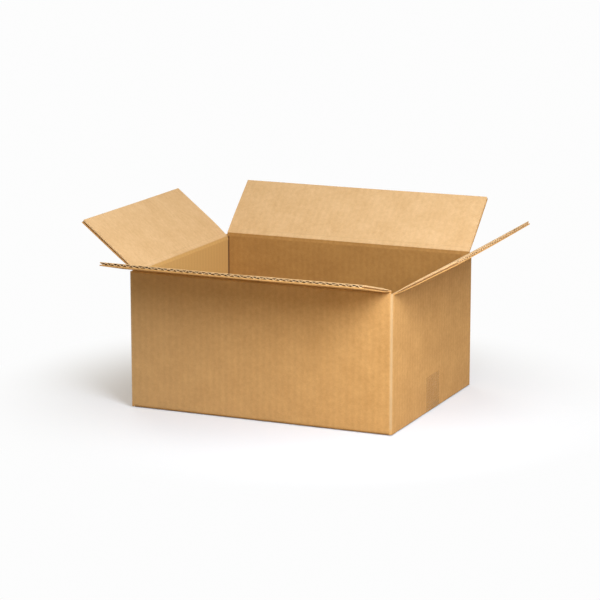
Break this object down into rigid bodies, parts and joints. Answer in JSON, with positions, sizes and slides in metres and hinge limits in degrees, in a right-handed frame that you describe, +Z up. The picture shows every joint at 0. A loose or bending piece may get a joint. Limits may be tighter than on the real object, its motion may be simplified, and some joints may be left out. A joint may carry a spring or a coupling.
{
  "type": "open cardboard box",
  "caption": "Open corrugated cardboard box with hinged top flaps and a taped bottom seam, for packing and shipping goods.",
  "frame": {"origin": "middle of the carton's footprint, on the surface it stands on, at the underside of the tape", "axes": "+X along the long side, to the wall on the right in the picture; +Y from the front wall to the back wall; +Z up, out of the open top"},
  "size_m": [0.5473, 0.4675, 0.2593],
  "materials": {
    "kraft_board": "matt brown kraft paper",
    "tape": "clear brown film, satin"
  },
  "bodies": {
    "carton": {"box_body": "kraft_board", "packing_tape": "tape"},
    "top_flap_front": {"top_flap_front": "kraft_board"},
    "top_flap_back": {"top_flap_back": "kraft_board"},
    "top_flap_left": {"top_flap_left": "kraft_board"},
    "top_flap_right": {"top_flap_right": "kraft_board"}
  },
  "joints": [
    {"name": "front_flap_fold", "type": "hinge", "parent": "carton", "child": "top_flap_front", "pos_m": [0, -0.1495, 0.1925], "axis": [-1, 0, 0], "range_deg": [-44, 166]},
    {"name": "back_flap_fold", "type": "hinge", "parent": "carton", "child": "top_flap_back", "pos_m": [0, 0.1495, 0.1925], "axis": [1, 0, 0], "range_deg": [-72, 138]},
    {"name": "left_flap_fold", "type": "hinge", "parent": "carton", "child": "top_flap_left", "pos_m": [-0.1875, 0, 0.1872], "axis": [0, 1, 0], "range_deg": [-68.5, 141.5]},
    {"name": "right_flap_fold", "type": "hinge", "parent": "carton", "child": "top_flap_right", "pos_m": [0.1875, 0, 0.1872], "axis": [0, -1, 0], "range_deg": [-59, 151]}
  ]
}
